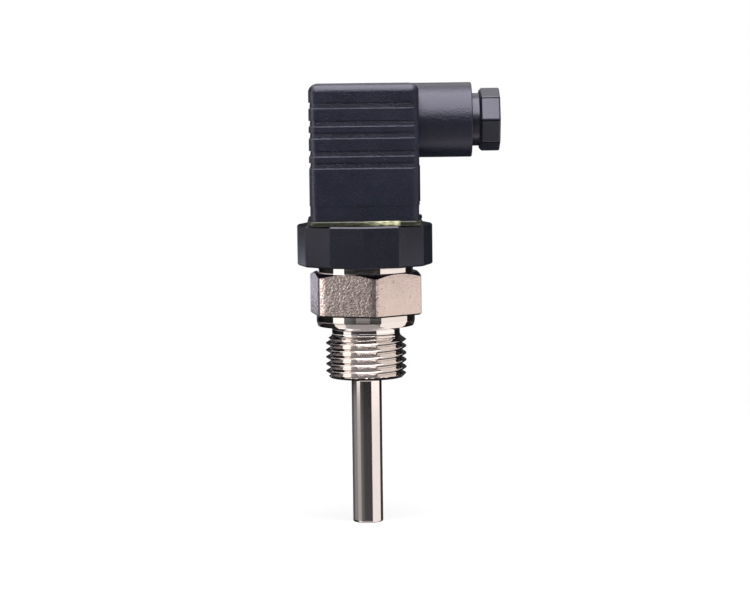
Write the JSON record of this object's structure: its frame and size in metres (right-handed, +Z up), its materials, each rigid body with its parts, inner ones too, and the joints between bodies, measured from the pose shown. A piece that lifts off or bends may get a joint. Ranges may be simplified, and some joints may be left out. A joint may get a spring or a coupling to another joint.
{
  "type": "screw-in temperature probe",
  "caption": "Screw-in resistance thermometer: short steel probe, pipe thread with hexagon, and a square right-angle plug connector with cable gland.",
  "frame": {"origin": "centre of the sealing face under the collar, on the axis of thread and probe", "axes": "+Z up through hexagon and connector, -Z down thread and probe, +X out through the cable gland, -Y towards the viewer of the picture"},
  "size_m": [0.0526, 0.035, 0.114],
  "materials": {
    "polished_steel": "polished",
    "screw_steel": "zinc plated",
    "brass": "turned",
    "tinned_brass": "tin plated",
    "black_plastic": "satin",
    "grey_plastic": "satin",
    "olive_silicone": "glossy, slightly clear",
    "black_rubber": "matte",
    "ceramic": "fired",
    "compound": "cast",
    "lead_red": "satin",
    "lead_white": "satin"
  },
  "bodies": {
    "probe": {"process_connection": "polished_steel", "probe_tube": "polished_steel", "sensing_element": "ceramic", "thermal_compound": "compound", "wire_insulator": "ceramic", "lead_wire_1": "lead_red", "lead_wire_2": "lead_red", "lead_wire_3": "lead_white", "neck_o_ring": "black_rubber", "plug_head": "black_plastic", "contact_blade_1": "tinned_brass", "contact_blade_2": "tinned_brass", "contact_blade_3": "tinned_brass", "earth_blade": "tinned_brass", "threaded_bush": "brass", "head_gasket": "olive_silicone"},
    "plug": {"connector_housing": "black_plastic", "terminal_insert": "grey_plastic", "cable_grommet": "black_rubber", "socket_contact_1": "tinned_brass", "clamp_screw_1": "screw_steel", "socket_contact_2": "tinned_brass", "clamp_screw_2": "screw_steel", "socket_contact_3": "tinned_brass", "clamp_screw_3": "screw_steel", "socket_contact_4": "tinned_brass", "clamp_screw_4": "screw_steel"},
    "screw_ring": {"screw_seal": "black_rubber"},
    "screw": {"fixing_screw": "screw_steel"},
    "gland_washer": {"thrust_washer": "screw_steel"},
    "gland": {"gland_nut": "black_plastic"}
  },
  "joints": [
    {"name": "plug_pull", "type": "slide", "parent": "probe", "child": "plug", "axis": [0, 0, 1], "range_m": [0, 0.03]},
    {"name": "screw_rise", "type": "slide", "parent": "plug", "child": "screw_ring", "axis": [0, 0, 1], "range_m": [0, 0.00375]},
    {"name": "screw_turn", "type": "hinge", "parent": "screw_ring", "child": "screw", "pos_m": [0, 0, 0.057], "axis": [0, 0, 1], "range_deg": [0, 2701]},
    {"name": "washer_shift", "type": "slide", "parent": "plug", "child": "gland_washer", "axis": [1, 0, 0], "range_m": [0, 0.00564]},
    {"name": "gland_turn", "type": "hinge", "parent": "gland_washer", "child": "gland", "pos_m": [0.028, 0, 0.05292], "axis": [1, 0, 0], "range_deg": [0, 1441]}
  ],
  "couplings": [
    {"joint": "screw_turn", "follows": "screw_rise", "rad_per_m": 12566},
    {"joint": "gland_turn", "follows": "washer_shift", "rad_per_m": 4456.2}
  ]
}
